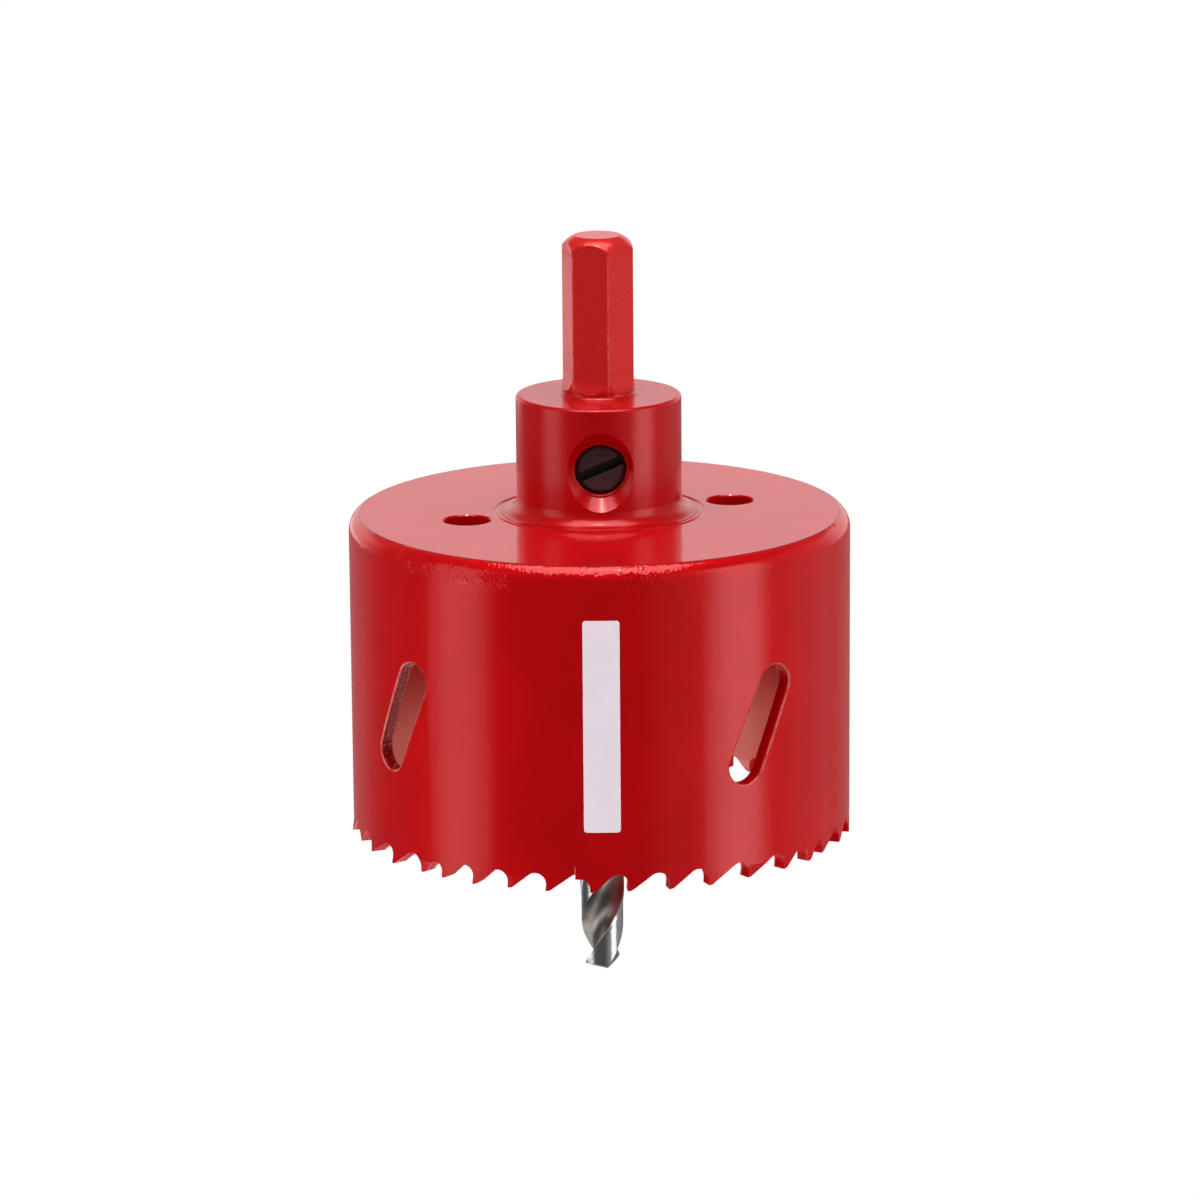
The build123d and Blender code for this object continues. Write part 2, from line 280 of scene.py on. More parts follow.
class Recipe(Sketch):
    """A node material under construction, in the tool's own coordinates."""

    def __init__(self, name):
        self.material = bpy.data.materials.new(name)
        self.material.use_nodes = True
        super().__init__(self.material.node_tree)
        self.shader = self.nodes["Principled BSDF"]
        self.place = self.nodes.new("ShaderNodeTexCoord").outputs["Object"]
        self.bare = 0.0

    def measure(self):
        """Height, azimuth and distance from the tool's axis of the shaded point."""
        x, y, self.height, self.azimuth = self.split(self.place)
        self.distance = self.maths("SQRT", self.maths("ADD", self.times(x, x), self.times(y, y)))

    def across_front(self, left, right):
        """A number on the tool's left side and another on its right side."""
        return self.ramp(self.azimuth, radians(-5), radians(5), left, right)

    def grain(self, feature, detail=2.0, stretch=(1, 1, 1), roughness=0.5):
        """Noise from 0 to 1 whose features are about a given size, in metres."""
        scale = self.nodes.new("ShaderNodeMapping")
        scale.inputs["Scale"].default_value = [share / feature for share in stretch]
        self.link(self.place, scale.inputs["Vector"])
        texture = self.nodes.new("ShaderNodeTexNoise")
        texture.inputs["Scale"].default_value = 1.0
        texture.inputs["Detail"].default_value = detail
        texture.inputs["Roughness"].default_value = roughness
        self.link(scale.outputs["Vector"], texture.inputs["Vector"])
        return texture.outputs["Fac"]

    def tint(self, share, one, other):
        """A colour between two, each a colour or a socket, by a share from 0 to 1."""
        mix = self.nodes.new("ShaderNodeMix")
        mix.data_type = "RGBA"
        self.link(share, mix.inputs["Factor"])
        for socket, colour in ((mix.inputs["A"], one), (mix.inputs["B"], other)):
            if hasattr(colour, "links"):
                self.link(colour, socket)
            else:
                socket.default_value = (*colour, 1.0)
        return mix.outputs["Result"]

    def blotched(self, feature, colour, share, detail=4):
        """A colour that changes in soft blotches to a share of itself."""
        blotch = self.ramp(self.grain(feature, detail), 0.3, 0.7)
        return self.tint(blotch, colour, [share * c for c in colour])

    def bump(self, height, depth, before=None):
        """Relief of a given depth in metres, on top of relief made before."""
        relief = self.nodes.new("ShaderNodeBump")
        relief.inputs["Strength"].default_value = 1.0
        relief.inputs["Distance"].default_value = depth
        self.link(height, relief.inputs["Height"])
        if before is not None:
            self.link(before, relief.inputs["Normal"])
        return relief.outputs["Normal"]

    def paint(self, share, colour):
        """Lay a colour over the colour so far, by a share from 0 to 1."""
        self.colour = self.tint(share, self.colour, colour)

    def strip(self, share):
        """Take the gloss off by a share from 0 to 1, where no more of it is off already."""
        self.bare = self.maths("MAXIMUM", self.bare, share)

    def drive(self, **values):
        """Link values to the shader's own sockets; underscores stand for spaces."""
        for name, value in values.items():
            self.link(value, self.shader.inputs[name.replace("_", " ")])

    def fix(self, **values):
        """Fixed numbers on the shader's own sockets; underscores stand for spaces."""
        for name, value in values.items():
            self.shader.inputs[name.replace("_", " ")].default_value = value


def gloss_red_paint(name, coat_roughness, peel_depth, painted_shade=1.0):
    """Gloss red powder coat: orange peel, cloudiness, thin paint inside the ring, and painted
    light, shade, sheen and highlights.
    """
    look = bpy.context.scene.saw_paint
    recipe = Recipe(name)
    recipe.measure()
    cloud = recipe.ramp(recipe.grain(9 * MM, 3), 0.3, 0.7)
    # Painted shade: a share below 1 darkens the whole red, as on the arbor.
    recipe.colour = recipe.tint(cloud, [painted_shade * c for c in look.thin_colour],
                                [painted_shade * c for c in look.colour])
    paint_plate_edge(recipe, look)
    cut = paint_wall(recipe, look)
    paint_pin_holes(recipe, look)
    on_flats = paint_shank(recipe, look)
    haze = recipe.ramp(recipe.grain(5 * MM, 4), 0.35, 0.75, look.roughness, look.roughness + 0.05)
    wave = recipe.bump(recipe.grain(3.5 * MM, 1), look.wave_depth)
    peel = recipe.bump(recipe.grain(look.peel_size, 2), peel_depth, wave)
    dry = recipe.maths("ADD", recipe.times(on_flats, GRIT_ON_FLATS),
                       recipe.times(cut, GRIT_ON_CUT))
    grit = recipe.bump(recipe.times(recipe.grain(0.28 * MM, 2), dry), look.grit_depth, peel)
    gloss = recipe.times(recipe.maths("SUBTRACT", 1.0, recipe.bare), look.coat)
    recipe.drive(Base_Color=recipe.colour, Roughness=haze, Normal=grit, Coat_Normal=grit,
                 Coat_Weight=gloss)
    recipe.fix(Metallic=look.metallic, IOR=1.5, Specular_IOR_Level=0.0,
               Coat_Roughness=coat_roughness, Coat_IOR=1.45, Sheen_Weight=look.sheen,
               Sheen_Roughness=0.3, Sheen_Tint=(1.0, 0.03, 0.04, 1.0))
    return recipe.material


def paint_plate_edge(recipe, look):
    """Painted shadow: a thin dark line in the crease where the weld meets the plate."""
    edge = recipe.near(recipe.distance, look.edge_radius, 0.02 * MM, 0.14 * MM)
    on_face = recipe.near(recipe.height, 0.0, 0.05 * MM, 0.2 * MM)
    recipe.paint(recipe.times(edge, on_face), look.edge_shadow_colour)


def paint_wall(recipe, look):
    """The ring's inside, slots, seam and gullets, with painted light, shade, glints and
    highlights. Returns the share of cut slot wall.
    """
    outside = bpy.context.scene.saw_ring.radius
    mid_wall = outside - WALL / 2
    in_wall = recipe.times(recipe.under(recipe.height, UNDER_PLATE, 0.2 * MM),
                           recipe.over(recipe.distance, INSIDE_RADIUS, 1 * MM))
    on_inside = recipe.under(recipe.distance, outside - 1.75 * MM, 0.25 * MM)
    inside = recipe.times(in_wall, on_inside)
    # Painted light: the inside turns pinker towards the teeth, where light comes in through the
    # open mouth.
    low = recipe.under(recipe.height, LOW_INSIDE, 15 * MM)
    recipe.paint(inside, recipe.tint(low, look.inside_colour, look.inside_painted_light_colour))

    at_slots = recipe.near(recipe.height, SLOT_MIDDLE, SLOT_REACH, SLOT_REACH + 0.3 * MM)
    cut = recipe.times(at_slots, in_wall,
                       recipe.near(recipe.distance, mid_wall, 0.62 * MM, 0.75 * MM))
    # Painted shade: darker red on the cut walls of the slots, much more on the left side.
    recipe.paint(recipe.times(cut, recipe.across_front(0.75, 0.15)), look.recess_shade_colour)
    # Painted glints: pale specks on the cut wall of the left slots.
    painted_glints = recipe.ramp(recipe.grain(0.2 * MM, 2), 0.6, 0.66, 0.0, 0.95)
    recipe.paint(recipe.times(cut, recipe.across_front(1.0, 0.0), painted_glints), look.glint_and_seam_colour)
    # Painted highlight: a pale, broken line along the lips of the slots.
    lip = recipe.near(recipe.distance, outside - 0.1 * MM, 0.05 * MM, 0.09 * MM)
    broken_highlight = recipe.ramp(recipe.grain(1.1 * MM, 2), 0.3, 0.65, 0.12, 0.7)
    recipe.paint(recipe.times(lip, at_slots, broken_highlight), look.glint_and_seam_colour)

    seam = recipe.near(recipe.azimuth, look.seam_azimuth, radians(0.06), radians(0.16))
    at_teeth = recipe.ramp(recipe.height, SEAM_TOP, SEAM_TOP + 0.5 * MM, 0.8, 0.0)
    recipe.paint(recipe.times(seam, at_teeth, in_wall), look.glint_and_seam_colour)
    gullet = recipe.times(recipe.under(recipe.height, GULLET_TOP, 0.4 * MM), in_wall,
                          recipe.near(recipe.distance, mid_wall, 0.6 * MM, 0.75 * MM))
    recipe.strip(recipe.times(gullet, 0.75))
    recipe.strip(recipe.times(cut, recipe.across_front(0.6, 0.9)))
    recipe.strip(recipe.times(inside, 0.5))
    return cut


def paint_pin_holes(recipe, look):
    """Painted shade on the walls of the drive pin holes, which are also duller."""
    in_plate = recipe.near(recipe.height, PIN_HOLE_MIDDLE, 2.6 * MM, 2.78 * MM)
    at_circle = recipe.near(recipe.distance, look.pin_circle / 2, PIN_HOLE_REACH,
                            PIN_HOLE_REACH + 0.5 * MM)
    drilled = recipe.times(in_plate, at_circle)
    recipe.paint(recipe.times(drilled, 0.2), look.recess_shade_colour)
    recipe.strip(recipe.times(drilled, 0.7))


def paint_shank(recipe, look):
    """Lighter red on the shank, partly a thinner coat and partly painted sheen, with broken
    painted highlights along its corners. Returns the share of its flats.
    """
    on_shank = recipe.over(recipe.height, SHANK_ROOT, 1.3 * MM)
    on_flats = recipe.times(on_shank, recipe.under(recipe.height, FLATS_TOP, 0.8 * MM))
    turn = recipe.times(recipe.maths("SUBTRACT", recipe.azimuth, SHANK_CORNER),
                        SHANK_SIDES)
    # Painted highlight: pale lines along the shank's corners, broken up by noise.
    corner = recipe.ramp(recipe.maths("COSINE", turn), 0.984, 0.996, 0.0, 0.75)
    broken_highlight = recipe.ramp(recipe.grain(0.6 * MM, 3), 0.35, 0.6, 0.35, 1.0)
    # The shank's lighter red is partly a thinner coat and partly painted sheen.
    recipe.paint(on_shank, look.shank_coat_and_sheen_colour)
    recipe.paint(recipe.times(corner, broken_highlight, on_flats), look.corner_highlight_colour)
    return on_flats


def white_print():
    """Screen-printed white: satin, slightly uneven ink with fine scratches."""
    look = bpy.context.scene.saw_print
    recipe = Recipe("white_print")
    ink = recipe.blotched(2.5 * MM, look.colour, 0.97)
    scratch = recipe.ramp(recipe.grain(1.6 * MM, 5, (0.3, 0.3, 7.0), 0.6), 0.69, 0.72, 0.0, 0.35)
    haze = recipe.ramp(recipe.grain(0.3 * MM, 2), 0.2, 0.8, 0.38, 0.5)
    recipe.drive(Base_Color=recipe.tint(scratch, ink, look.scratch_colour), Roughness=haze,
                 Normal=recipe.bump(recipe.grain(0.35 * MM, 2), 0.003 * MM))
    recipe.fix(IOR=1.45)
    return recipe.material


def black_oxide():
    """Black oxide on a turned screw: dull dark steel, slightly uneven."""
    look = bpy.context.scene.saw_screw
    recipe = Recipe("black_oxide")
    haze = recipe.ramp(recipe.grain(0.25 * MM, 3), 0.2, 0.8, 0.3, 0.5)
    recipe.drive(Base_Color=recipe.blotched(1.2 * MM, look.colour, 1.5), Roughness=haze,
                 Normal=recipe.bump(recipe.grain(0.2 * MM, 3), 0.004 * MM))
    recipe.fix(Metallic=0.35, IOR=1.6)
    return recipe.material


def ground_steel():
    """High-speed steel: bright ground lands and margins, darker flutes with a bronze cast."""
    look = bpy.context.scene.saw_drill
    recipe = Recipe("ground_steel")
    recipe.measure()
    below_land = look.flute_limit - 0.06 * MM
    land = recipe.ramp(recipe.distance, below_land, look.flute_limit)
    flute = recipe.blotched(1.5 * MM, look.flute_colour, 0.8, 3)
    streak = recipe.grain(0.12 * MM, 3, (1, 1, 0.12))
    uneven = recipe.ramp(streak, 0.25, 0.75, -0.05, 0.06)
    dull = recipe.ramp(recipe.distance, below_land, look.flute_limit, look.flute_roughness,
                       look.roughness)
    recipe.drive(Base_Color=recipe.tint(land, flute, look.land_colour),
                 Roughness=recipe.maths("ADD", uneven, dull),
                 Normal=recipe.bump(streak, 0.0012 * MM))
    recipe.fix(Metallic=look.metallic)
    return recipe.material


# Settings


class StageSettings(bpy.types.PropertyGroup):
    """Camera, lamps and floor."""

    camera_azimuth: FloatProperty(
        name="Camera azimuth", description="Where the camera stands, from the front to the right",
        default=radians(-1.25), subtype="ANGLE")
    camera_elevation: FloatProperty(
        name="Camera elevation", description="How high the camera stands above the horizon",
        default=radians(13.8), subtype="ANGLE")
    camera_roll: FloatProperty(
        name="Camera roll", description="Turn of the camera about its own axis",
        default=radians(-0.44), subtype="ANGLE")
    camera_distance: FloatProperty(
        name="Camera distance", description="From the camera to the point it looks at",
        default=0.7754, unit="LENGTH")
    target_height: FloatProperty(
        name="Target height", description="Height on the tool's axis that the camera looks at",
        default=-0.01248, unit="LENGTH")
    lens: FloatProperty(
        name="Lens", description="Focal length in millimetres on a 36 mm sensor", default=172.41)
    floor_level: FloatProperty(
        name="Floor level", description="Height of the floor below the tool",
        default=-0.25, unit="LENGTH")
    floor_radius: FloatProperty(
        name="Floor radius", description="Radius of the round floor", default=0.24, unit="LENGTH")
    ambient: FloatProperty(
        name="Ambient", description="Even light from all round", default=1.0)


class RingSettings(bpy.types.PropertyGroup):
    """The size of the ring that the finish follows."""

    radius: FloatProperty(
        name="Ring radius", description="Outer radius of the ring", default=33.7 * MM,
        unit="LENGTH")


class PaintSettings(bpy.types.PropertyGroup):
    """The red coat."""

    colour: FloatVectorProperty(
        name="Red", description="Colour of the full coat", subtype="COLOR", size=3,
        default=(0.56, 0.0004, 0.0022))
    thin_colour: FloatVectorProperty(
        name="Thin red", description="Colour where the coat is thinner", subtype="COLOR", size=3,
        default=(0.61, 0.0007, 0.003))
    inside_colour: FloatVectorProperty(
        name="Inside", description="Colour of the thin paint inside the ring", subtype="COLOR",
        size=3, default=(0.46, 0.012, 0.012))
    # Painted light inside the ring near its teeth, from the open mouth
    inside_painted_light_colour: FloatVectorProperty(
        name="Low inside", description="Colour inside the ring near its teeth", subtype="COLOR",
        size=3, default=(0.8, 0.19, 0.16))
    # Partly a thinner coat, partly painted sheen on the shank
    shank_coat_and_sheen_colour: FloatVectorProperty(
        name="Shank", description="Colour of the thinner, duller coat on the shank",
        subtype="COLOR", size=3, default=(0.66, 0.016, 0.014))
    # Painted highlight along the shank's corners
    corner_highlight_colour: FloatVectorProperty(
        name="Shank corners", description="Colour where the coat is drawn thin over the corners",
        subtype="COLOR", size=3, default=(0.85, 0.12, 0.11))
    # Painted glints and highlights on the slot walls and lips; also the colour of the seam line
    # by the teeth
    glint_and_seam_colour: FloatVectorProperty(
        name="Bare specks", description="Colour of worn edges and of specks on the cut wall",
        subtype="COLOR", size=3, default=(0.72, 0.26, 0.22))
    seam_azimuth: FloatProperty(
        name="Seam azimuth", description="Azimuth of the ring's butt weld",
        default=radians(-7.25), subtype="ANGLE")
    # Painted shade on the walls of the slots and the drive pin holes
    recess_shade_colour: FloatVectorProperty(
        name="Cut wall", description="Colour of the rough wall of the slots", subtype="COLOR",
        size=3, default=(0.16, 0.003, 0.003))
    pin_circle: FloatProperty(
        name="Pin circle", description="Diameter of the circle that the drive pin holes lie on",
        default=37 * MM, unit="LENGTH")
    grit_depth: FloatProperty(
        name="Grit depth", description="Height of the fine grit on the shank and the cut wall",
        default=0.06 * MM, unit="LENGTH")
    # Painted shadow in the crease round the end plate
    edge_shadow_colour: FloatVectorProperty(
        name="Edge line", description="Colour of the thin line round the end plate",
        subtype="COLOR", size=3, default=(0.13, 0.02, 0.02))
    edge_radius: FloatProperty(
        name="Edge radius", description="Distance of that line from the tool's axis",
        default=32.31 * MM, unit="LENGTH")
    metallic: FloatProperty(
        name="Flake", description="Share of metal flake in the colour", default=0.4, min=0, max=1)
    roughness: FloatProperty(
        name="Roughness", description="How dull the colour under the gloss is", default=0.45,
        min=0, max=1)
    coat: FloatProperty(
        name="Gloss layer", description="Share of clear gloss over the colour", default=1.0)
    coat_roughness: FloatProperty(
        name="Gloss roughness", description="How dull the clear layer is", default=0.1)
    arbor_roughness: FloatProperty(
        name="Arbor roughness", description="How dull the clear layer on the arbor is",
        default=0.19)
    # Painted shade: the arbor's red is a darker copy of the ring's red
    arbor_painted_shade: FloatProperty(
        name="Arbor shade", description="How much darker the red of the arbor is", default=0.87)
    sheen: FloatProperty(
        name="Edge glow", description="Share of red that the coat adds at a shallow angle",
        default=0.27)
    peel_size: FloatProperty(
        name="Orange peel size", description="Width of one bump of the coat",
        default=0.45 * MM, unit="LENGTH")
    peel_depth: FloatProperty(
        name="Orange peel depth", description="Height of one bump of the coat",
        default=0.009 * MM, unit="LENGTH")
    arbor_peel_depth: FloatProperty(
        name="Arbor peel depth", description="Height of one bump of the coat on the arbor",
        default=0.02 * MM, unit="LENGTH")
    wave_depth: FloatProperty(
        name="Wave depth", description="Height of the long waves in the coat",
        default=0.02 * MM, unit="LENGTH")


class WeldSettings(bpy.types.PropertyGroup):
    """The rough stretch of the weld under the paint."""

    start: FloatProperty(
        name="Start", description="Azimuth where the rough stretch starts",
        default=radians(-60), subtype="ANGLE")
    end: FloatProperty(
        name="End", description="Azimuth where the rough stretch ends",
        default=radians(26), subtype="ANGLE")
    bead_radius: FloatProperty(
        name="Bead radius", description="Radius of the bead's round section",
        default=2.4 * MM, unit="LENGTH")
    edge_slope: FloatProperty(
        name="Edge slope", description="Slope of the bead where it meets the plate",
        default=radians(25), subtype="ANGLE")
    ripple: FloatProperty(
        name="Ripple", description="Height of the ripples on the bead",
        default=0.11 * MM, unit="LENGTH")
    apron: FloatProperty(
        name="Apron", description="How far the skin reaches down the wall below the bead",
        default=2.8 * MM, unit="LENGTH")
    fade: FloatProperty(
        name="Fade", description="Stretch over which the ripples fade at each end",
        default=radians(9), subtype="ANGLE")
    thickness: FloatProperty(
        name="Thickness", description="Thickness of the skin between its ripples",
        default=0.06 * MM, unit="LENGTH")
    grid: FloatProperty(
        name="Grid", description="Distance between the points of the skin", default=0.11 * MM,
        unit="LENGTH")


class PrintSettings(bpy.types.PropertyGroup):
    """The printed bar on the front of the ring."""

    azimuth: FloatProperty(
        name="Azimuth", description="Azimuth of the bar's middle", default=radians(-1.1),
        subtype="ANGLE")
    width: FloatProperty(
        name="Width", description="Width of the bar round the ring", default=4.8 * MM,
        unit="LENGTH")
    top: FloatProperty(
        name="Top", description="Height of the bar's upper end", default=-7.0 * MM, unit="LENGTH")
    bottom: FloatProperty(
        name="Bottom", description="Height of the bar's lower end", default=-35.4 * MM,
        unit="LENGTH")
    corner: FloatProperty(
        name="Corner", description="Radius of the bar's corners", default=0.4 * MM, unit="LENGTH")
    film: FloatProperty(
        name="Film", description="How far the ink stands out of the paint", default=0.02 * MM,
        unit="LENGTH")
    root: FloatProperty(
        name="Root", description="How far the ink reaches into the paint", default=0.04 * MM,
        unit="LENGTH")
    ragged: FloatProperty(
        name="Ragged edge", description="How uneven the bar's long edges are",
        default=0.02 * MM, unit="LENGTH")
    colour: FloatVectorProperty(
        name="White", description="Colour of the ink", subtype="COLOR", size=3,
        default=(0.868, 0.749, 0.819))
    scratch_colour: FloatVectorProperty(
        name="Scratches", description="Colour of the fine scratches in the ink", subtype="COLOR",
        size=3, default=(0.62, 0.42, 0.46))


class ScrewSettings(bpy.types.PropertyGroup):
    """The set screw in the hub and the thread that it sits in."""

    colour: FloatVectorProperty(
        name="Black", description="Colour of the oxide", subtype="COLOR", size=3,
        default=(0.05, 0.029, 0.031))
    thread_pitch: FloatProperty(
        name="Thread pitch", description="Rise of the thread in one turn", default=1.25 * MM,
        unit="LENGTH")
    thread_depth: FloatProperty(
        name="Thread depth", description="Depth of the thread", default=0.42 * MM, unit="LENGTH")
    end_chamfer: FloatProperty(
        name="End chamfer", description="Bevel round both ends", default=0.85 * MM, unit="LENGTH")
    slot_width: FloatProperty(
        name="Slot width", description="Width of the screwdriver slot", default=1.3 * MM,
        unit="LENGTH")
    slot_depth: FloatProperty(
        name="Slot depth", description="Depth of the screwdriver slot", default=2.2 * MM,
        unit="LENGTH")
    slot_bevel: FloatProperty(
        name="Slot bevel", description="Bevel along the edges of the slot", default=0.09 * MM,
        unit="LENGTH")
    slot_angle: FloatProperty(
        name="Slot angle", description="How far the slot rises to the right",
        default=radians(22.5), subtype="ANGLE")
    mouth_depth: FloatProperty(
        name="Thread start", description="How far the hub's thread shows in front of the screw",
        default=0.75 * MM, unit="LENGTH")


class DrillSettings(bpy.types.PropertyGroup):
    """The pilot drill's steel."""

    land_colour: FloatVectorProperty(
        name="Land", description="Colour of the ground lands", subtype="COLOR", size=3,
        default=(0.72, 0.72, 0.72))
    flute_colour: FloatVectorProperty(
        name="Flute", description="Colour of the flutes", subtype="COLOR", size=3,
        default=(0.38, 0.35, 0.325))
    flute_limit: FloatProperty(
        name="Flute limit", description="Distance from the axis where the lands begin",
        default=2.8 * MM, unit="LENGTH")
    roughness: FloatProperty(
        name="Roughness", description="How dull the lands are", default=0.2, min=0, max=1)
    flute_roughness: FloatProperty(
        name="Flute roughness", description="How dull the flutes are", default=0.36, min=0,
        max=1)
    metallic: FloatProperty(
        name="Metallic", description="Share of bare metal in the look", default=1.0, min=0,
        max=1)


# Operators


def add_lamp(name, azimuth, elevation, distance, size, radiance, target):
    """A soft rectangular lamp that faces a point, as bright all over as a radiance says."""
    data = bpy.data.lights.new(name, "AREA")
    data.shape = "RECTANGLE"
    data.size, data.size_y = size
    # A lamp's watts are four times its area times its radiance
    data.energy = 4 * size[0] * size[1] * radiance
    lamp = bpy.data.objects.new(name, data)
    bpy.context.scene.collection.objects.link(lamp)
    away = on_ring(radians(azimuth), cos(radians(elevation)), sin(radians(elevation)))
    lamp.location = Vector(target) + away * distance
    lamp.rotation_mode = "QUATERNION"
    lamp.rotation_quaternion = away.to_track_quat("Z", "Y")


def studio_cards(sketch, height, azimuth):
    """Brightness of the cards that gloss surfaces mirror."""
    cards = BETWEEN_CARDS
    at_card_height = sketch.times(sketch.ramp(height, *SIDE_CARD_FOOT),
                                  sketch.ramp(height, *SIDE_CARD_TOP, 1.0, 0.0))
    for middle, half, soft, brightness in SIDE_CARDS:
        card = sketch.near(azimuth, radians(middle), radians(half - soft), radians(half + soft),
                           brightness)
        cards = sketch.maths("ADD", cards, sketch.times(card, at_card_height))
    low_card = sketch.near(azimuth, LOW_CARD_AZIMUTH, *LOW_CARD_SIDES, LOW_CARD_BRIGHTNESS)
    low_card = sketch.times(low_card, sketch.ramp(height, *LOW_CARD_TOP, 1.0, 0.0),
                            sketch.ramp(height, *LOW_CARD_FOOT))
    behind = sketch.ramp(sketch.maths("ABSOLUTE", azimuth), *BACK_CARD_SIDES, 0.0,
                         BACK_CARD_BRIGHTNESS)
    back_card = sketch.times(behind, sketch.ramp(height, *BACK_CARD_FOOT, 0.15, 1.0),
                             sketch.ramp(height, *BACK_CARD_TOP, 1.0, 0.05))
    return sketch.maths("ADD", cards, sketch.maths("ADD", low_card, back_card))


def studio_glow(sketch, height, azimuth, ambient):
    """Brightness of the soft light on dull surfaces: weak from the front, above and below."""
    aside = sketch.maths("ABSOLUTE", azimuth)
    level = sketch.ramp(sketch.maths("ABSOLUTE", height), 0.5, 0.85, 1.0, 0.3)
    toward_sides = sketch.ramp(aside, radians(20), radians(70), 0.35, 1.8)
    in_front = sketch.ramp(aside, radians(90), radians(130), 1.0, 0.85)
    return sketch.times(toward_sides, in_front, level, ambient)


def build_world(ambient):
    """White to the camera, soft light on dull surfaces, and a studio of cards in reflections."""
    world = bpy.data.worlds.new("studio")
    bpy.context.scene.world = world
    world.use_nodes = True
    world.cycles.sampling_method = "NONE"
    world.node_tree.nodes.clear()
    sketch = Sketch(world.node_tree)
    direction = sketch.nodes.new("ShaderNodeTexCoord").outputs["Generated"]
    _, _, height, azimuth = sketch.split(direction)
    seen, mirrored = sketch.ray_kinds()
    light = sketch.choose(mirrored, studio_glow(sketch, height, azimuth, ambient),
                          studio_cards(sketch, height, azimuth))
    background = sketch.nodes.new("ShaderNodeBackground")
    background.inputs["Color"].default_value = (1, 1, 1, 1)
    sketch.link(sketch.choose(seen, light, 1.0), background.inputs["Strength"])
    output = sketch.nodes.new("ShaderNodeOutputWorld")
    sketch.link(background.outputs["Background"], output.inputs["Surface"])


def floor_material():
    """Pale floor that shows as white and keeps the tool's shadow."""
    material = bpy.data.materials.new("pale_floor")
    material.use_nodes = True
    material.node_tree.nodes.clear()
    sketch = Sketch(material.node_tree)
    pale = sketch.nodes.new("ShaderNodeBsdfDiffuse")
    pale.inputs["Color"].default_value = (0.82, 0.82, 0.82, 1)
    glow = sketch.nodes.new("ShaderNodeEmission")
    seen, mirrored = sketch.ray_kinds()
    mix = sketch.nodes.new("ShaderNodeMixShader")
    sketch.link(sketch.maths("MAXIMUM", sketch.times(seen, FLOOR_SEEN),
                             sketch.times(mirrored, FLOOR_MIRRORED)), mix.inputs["Fac"])
    sketch.link(pale.outputs["BSDF"], mix.inputs[1])
    sketch.link(glow.outputs["Emission"], mix.inputs[2])
    output = sketch.nodes.new("ShaderNodeOutputMaterial")
    sketch.link(mix.outputs["Shader"], output.inputs["Surface"])
    material.cycles.emission_sampling = "NONE"
    return material


class SAW_OT_stage(bpy.types.Operator):
    """Set up the camera, the lamps, the studio and the floor"""

    bl_idname = "hole_saw.stage"
    bl_label = "Stage"

    def execute(self, context):
        stage = context.scene.saw_stage
        context.scene.view_settings.view_transform = "Standard"
        self.add_camera(context, stage)
        build_world(stage.ambient)
        for lamp in LAMPS:
            add_lamp(*lamp)
        self.add_floor(context, stage)
        return {"FINISHED"}

    def add_camera(self, context, stage):
        """The camera, which looks at a point on the tool's axis."""
        data = bpy.data.cameras.new("camera")
        data.sensor_width = 36
        data.lens = stage.lens
        data.clip_start, data.clip_end = 0.05, 10
        camera = bpy.data.objects.new("camera", data)
        context.scene.collection.objects.link(camera)
        back = on_ring(stage.camera_azimuth, cos(stage.camera_elevation),
                       sin(stage.camera_elevation))
        right = Vector((cos(stage.camera_azimuth), sin(stage.camera_azimuth), 0))
        upright = Matrix((right, back.cross(right), back)).transposed()
        roll = Matrix.Rotation(stage.camera_roll, 3, "Z")
        camera.rotation_mode = "QUATERNION"
        camera.rotation_quaternion = (upright @ roll).to_quaternion()
        camera.location = Vector((0, 0, stage.target_height)) + back * stage.camera_distance
        context.scene.camera = camera

    def add_floor(self, context, stage):
        """A round pale floor below the tool."""
        mesh = bpy.data.meshes.new("floor")
        sides = 96
        rim = [on_ring(2 * pi * n / sides, stage.floor_radius, stage.floor_level)
               for n in range(sides)]
        mesh.from_pydata([tuple(p) for p in rim], [], [list(range(sides))])
        mesh.materials.append(floor_material())
        floor = bpy.data.objects.new("floor", mesh)
        context.scene.collection.objects.link(floor)


def paint_node(node, material):
    """Give a node of the tool its finish."""
    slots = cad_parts[node].data.materials
    slots.clear()
    slots.append(material)


class SAW_OT_paint(bpy.types.Operator):
    """Paint the ring, the end plate and the arbor gloss red"""

    bl_idname = "hole_saw.paint"
    bl_label = "Red paint"

    def execute(self, context):
        look = context.scene.saw_paint
        ring_paint = gloss_red_paint("gloss_red_paint", look.coat_roughness, look.peel_depth)
        paint_node("saw_band", ring_paint)
        paint_node("end_plate", ring_paint)
        paint_node("arbor", gloss_red_paint("arbor_red_paint", look.arbor_roughness,
                                            look.arbor_peel_depth, look.arbor_painted_shade))
        return {"FINISHED"}


def waves(along, down, size):
    """Smooth noise from about -1 to 1 on the ring, by a width, a height and a seed."""
    width, height, seed = size
    return noise.noise(Vector((along / width, down / height, seed)))


